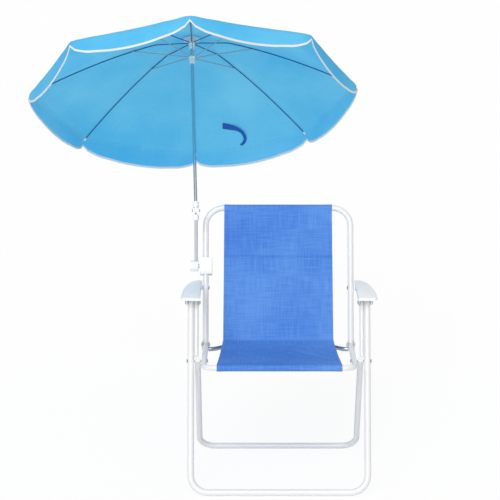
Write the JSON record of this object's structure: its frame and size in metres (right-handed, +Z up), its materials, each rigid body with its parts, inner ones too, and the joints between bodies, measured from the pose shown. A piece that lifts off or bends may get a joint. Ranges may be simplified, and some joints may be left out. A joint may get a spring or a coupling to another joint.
{
  "type": "folding chair with sunshade",
  "caption": "Folding sling chair with armrests and a tilting sunshade clamped to its back, for sitting outdoors in the shade.",
  "frame": {"origin": "under the middle of the front floor bar, on the floor", "axes": "+X to the sitter's left, which is the picture's right; +Y to the rear; +Z up"},
  "size_m": [1.1363, 1.2407, 1.4592],
  "materials": {
    "white_paint": "gloss white powder coat",
    "grey_steel": "grey zinc",
    "blue_sling": "cobalt blue woven polyester",
    "white_plastic": "white moulded plastic",
    "chrome_pole": "bright plated tube",
    "pale_film": "pale translucent patch",
    "strap_cloth": "dark blue band",
    "canopy_cloth": "sky blue umbrella cloth with white trim",
    "bright_steel": "bright plated steel"
  },
  "bodies": {
    "front_legs": {"front_leg_frame": "white_paint", "arm_post_left": "white_paint", "arm_post_right": "white_paint", "seat_bolt_left": "bright_steel", "seat_bolt_right": "bright_steel", "arm_bolt_left": "bright_steel", "arm_bolt_right": "bright_steel"},
    "rear_legs": {"rear_leg_frame": "white_paint"},
    "seat": {"seat_frame": "white_paint", "rear_crossbar": "grey_steel", "hinge_bracket_left": "white_paint", "hinge_bracket_right": "white_paint", "hinge_pin_left": "bright_steel", "hinge_pin_right": "bright_steel", "seat_sling": "blue_sling"},
    "back": {"back_frame": "white_paint", "back_sling": "blue_sling", "arm_rear_bolt_left": "bright_steel", "arm_rear_bolt_right": "bright_steel", "clamp_block": "white_plastic"},
    "arm_left": {"armrest_left": "white_plastic"},
    "arm_right": {"armrest_right": "white_plastic"},
    "jaw": {"clamp_jaw": "white_plastic"},
    "knob": {"clamp_knob": "white_plastic"},
    "socket": {"pole_socket": "white_plastic"},
    "lower_pole": {"lower_pole": "chrome_pole", "knuckle_fork": "white_plastic", "tilt_pin": "bright_steel"},
    "umbrella": {"knuckle_tongue": "white_plastic", "upper_pole": "chrome_pole", "crown": "white_plastic", "crown_patch": "pale_film", "finial": "white_plastic"},
    "runner": {"runner": "white_plastic"},
    "rib_1": {"rib_1": "bright_steel", "gore_1": "canopy_cloth"},
    "stretcher_1": {"stretcher_1": "bright_steel"},
    "rib_2": {"rib_2": "bright_steel", "gore_2": "canopy_cloth"},
    "stretcher_2": {"stretcher_2": "bright_steel"},
    "rib_3": {"rib_3": "bright_steel", "gore_3": "canopy_cloth", "closing_strap": "strap_cloth"},
    "stretcher_3": {"stretcher_3": "bright_steel"},
    "rib_4": {"rib_4": "bright_steel", "gore_4": "canopy_cloth"},
    "stretcher_4": {"stretcher_4": "bright_steel"},
    "rib_5": {"rib_5": "bright_steel", "gore_5": "canopy_cloth"},
    "stretcher_5": {"stretcher_5": "bright_steel"},
    "rib_6": {"rib_6": "bright_steel", "gore_6": "canopy_cloth"},
    "stretcher_6": {"stretcher_6": "bright_steel"},
    "rib_7": {"rib_7": "bright_steel", "gore_7": "canopy_cloth"},
    "stretcher_7": {"stretcher_7": "bright_steel"},
    "rib_8": {"rib_8": "bright_steel", "gore_8": "canopy_cloth"},
    "stretcher_8": {"stretcher_8": "bright_steel"}
  },
  "joints": [
    {"name": "fold", "type": "hinge", "parent": "front_legs", "child": "seat", "pos_m": [0, 0.16, 0.39278], "axis": [1, 0, 0], "range_deg": [0, 73]},
    {"name": "rear_legs_fold", "type": "hinge", "parent": "front_legs", "child": "rear_legs", "pos_m": [0, 0.16, 0.39278], "axis": [1, 0, 0], "range_deg": [-54.86, 0]},
    {"name": "back_fold", "type": "hinge", "parent": "seat", "child": "back", "pos_m": [0, 0.4375, 0.36028], "axis": [1, 0, 0], "range_deg": [-73, 0]},
    {"name": "arm_left_turn", "type": "hinge", "parent": "front_legs", "child": "arm_left", "pos_m": [0, 0.23178, 0.56437], "axis": [1, 0, 0], "range_deg": [0, 73]},
    {"name": "arm_right_turn", "type": "hinge", "parent": "front_legs", "child": "arm_right", "pos_m": [0, 0.23178, 0.56437], "axis": [1, 0, 0], "range_deg": [0, 73]},
    {"name": "clamp_knob_turn", "type": "hinge", "parent": "back", "child": "knob", "pos_m": [-0.2365, 0.53687, 0.59784], "axis": [0, 0.9225, -0.3859], "range_deg": [0, 360]},
    {"name": "clamp_jaw_slide", "type": "slide", "parent": "back", "child": "jaw", "axis": [0, 0.9225, -0.3859], "range_m": [0, 0.004]},
    {"name": "socket_swivel", "type": "hinge", "parent": "back", "child": "socket", "pos_m": [-0.26765, 0.53687, 0.59784], "axis": [1, 0, 0], "range_deg": [-20, 20]},
    {"name": "pole_lift", "type": "slide", "parent": "socket", "child": "lower_pole", "axis": [0, 0, 1], "range_m": [0, 0.02]},
    {"name": "umbrella_tilt", "type": "hinge", "parent": "lower_pole", "child": "umbrella", "pos_m": [-0.26765, 0.53687, 0.78483], "axis": [1, 0, 0], "range_deg": [0, 37]},
    {"name": "umbrella_close", "type": "hinge", "parent": "umbrella", "child": "rib_1", "pos_m": [-0.27437, 0.90667, 1.26503], "axis": [0, 0.7923, -0.6101], "range_deg": [0, 24], "deforming": ["gore_1"]},
    {"name": "stretcher_1_turn", "type": "hinge", "parent": "rib_1", "child": "stretcher_1", "pos_m": [-0.08565, 0.89411, 1.24872], "axis": [0, 0.7923, -0.6101], "range_deg": [-48, 0]},
    {"name": "rib_2_fold", "type": "hinge", "parent": "umbrella", "child": "rib_2", "pos_m": [-0.27789, 0.91333, 1.25976], "axis": [-0.7068, 0.5469, -0.4487], "range_deg": [0, 24], "deforming": ["gore_2"]},
    {"name": "stretcher_2_turn", "type": "hinge", "parent": "rib_2", "child": "stretcher_2", "pos_m": [-0.1442, 1.00505, 1.16099], "axis": [-0.7068, 0.5469, -0.4487], "range_deg": [-48, 0]},
    {"name": "rib_3_fold", "type": "hinge", "parent": "umbrella", "child": "rib_3", "pos_m": [-0.28637, 0.91595, 1.25741], "axis": [-0.9995, -0.0188, -0.0245], "range_deg": [0, 24], "deforming": ["gore_3"]},
    {"name": "stretcher_3_turn", "type": "hinge", "parent": "rib_3", "child": "stretcher_3", "pos_m": [-0.28555, 1.0488, 1.12179], "axis": [-0.9995, -0.0188, -0.0245], "range_deg": [-48, 0]},
    {"name": "rib_4_fold", "type": "hinge", "parent": "umbrella", "child": "rib_4", "pos_m": [-0.29485, 0.913, 1.25935], "axis": [-0.7068, -0.5736, 0.4141], "range_deg": [0, 24], "deforming": ["gore_4"]},
    {"name": "stretcher_4_turn", "type": "hinge", "parent": "rib_4", "child": "stretcher_4", "pos_m": [-0.42691, 0.99972, 1.15407], "axis": [-0.7068, -0.5736, 0.4141], "range_deg": [-48, 0]},
    {"name": "rib_5_fold", "type": "hinge", "parent": "umbrella", "child": "rib_5", "pos_m": [-0.29836, 0.90622, 1.26444], "axis": [0, -0.7923, 0.6101], "range_deg": [0, 24], "deforming": ["gore_5"]},
    {"name": "stretcher_5_turn", "type": "hinge", "parent": "rib_5", "child": "stretcher_5", "pos_m": [-0.48546, 0.88657, 1.23893], "axis": [0, -0.7923, 0.6101], "range_deg": [-48, 0]},
    {"name": "rib_6_fold", "type": "hinge", "parent": "umbrella", "child": "rib_6", "pos_m": [-0.29485, 0.89956, 1.2697], "axis": [0.7068, -0.5469, 0.4487], "range_deg": [0, 24], "deforming": ["gore_6"]},
    {"name": "stretcher_6_turn", "type": "hinge", "parent": "rib_6", "child": "stretcher_6", "pos_m": [-0.42691, 0.77563, 1.32665], "axis": [0.7068, -0.5469, 0.4487], "range_deg": [-48, 0]},
    {"name": "rib_7_fold", "type": "hinge", "parent": "umbrella", "child": "rib_7", "pos_m": [-0.28637, 0.89694, 1.27205], "axis": [0.9995, 0.0188, 0.0245], "range_deg": [0, 24], "deforming": ["gore_7"]},
    {"name": "stretcher_7_turn", "type": "hinge", "parent": "rib_7", "child": "stretcher_7", "pos_m": [-0.28555, 0.73188, 1.36585], "axis": [0.9995, 0.0188, 0.0245], "range_deg": [-48, 0]},
    {"name": "rib_8_fold", "type": "hinge", "parent": "umbrella", "child": "rib_8", "pos_m": [-0.27789, 0.89988, 1.27012], "axis": [0.7068, 0.5736, -0.4141], "range_deg": [0, 24], "deforming": ["gore_8"]},
    {"name": "stretcher_8_turn", "type": "hinge", "parent": "rib_8", "child": "stretcher_8", "pos_m": [-0.1442, 0.78096, 1.33357], "axis": [0.7068, 0.5736, -0.4141], "range_deg": [-48, 0]},
    {"name": "runner_slide", "type": "slide", "parent": "umbrella", "child": "runner", "axis": [0.0309, -0.6099, -0.7919], "range_m": [0, 0.14837]}
  ],
  "couplings": [
    {"joint": "rear_legs_fold", "follows": "fold", "ratio": -0.75151},
    {"joint": "back_fold", "follows": "fold", "ratio": -1},
    {"joint": "arm_left_turn", "follows": "fold", "ratio": 1},
    {"joint": "arm_right_turn", "follows": "fold", "ratio": 1},
    {"joint": "clamp_jaw_slide", "follows": "clamp_knob_turn", "m_per_rad": 0.00063662},
    {"joint": "stretcher_1_turn", "follows": "umbrella_close", "ratio": -2},
    {"joint": "rib_2_fold", "follows": "umbrella_close", "ratio": 1},
    {"joint": "stretcher_2_turn", "follows": "umbrella_close", "ratio": -2},
    {"joint": "rib_3_fold", "follows": "umbrella_close", "ratio": 1},
    {"joint": "stretcher_3_turn", "follows": "umbrella_close", "ratio": -2},
    {"joint": "rib_4_fold", "follows": "umbrella_close", "ratio": 1},
    {"joint": "stretcher_4_turn", "follows": "umbrella_close", "ratio": -2},
    {"joint": "rib_5_fold", "follows": "umbrella_close", "ratio": 1},
    {"joint": "stretcher_5_turn", "follows": "umbrella_close", "ratio": -2},
    {"joint": "rib_6_fold", "follows": "umbrella_close", "ratio": 1},
    {"joint": "stretcher_6_turn", "follows": "umbrella_close", "ratio": -2},
    {"joint": "rib_7_fold", "follows": "umbrella_close", "ratio": 1},
    {"joint": "stretcher_7_turn", "follows": "umbrella_close", "ratio": -2},
    {"joint": "rib_8_fold", "follows": "umbrella_close", "ratio": 1},
    {"joint": "stretcher_8_turn", "follows": "umbrella_close", "ratio": -2},
    {"joint": "runner_slide", "follows": "umbrella_close", "m_per_rad": 0.35421}
  ]
}
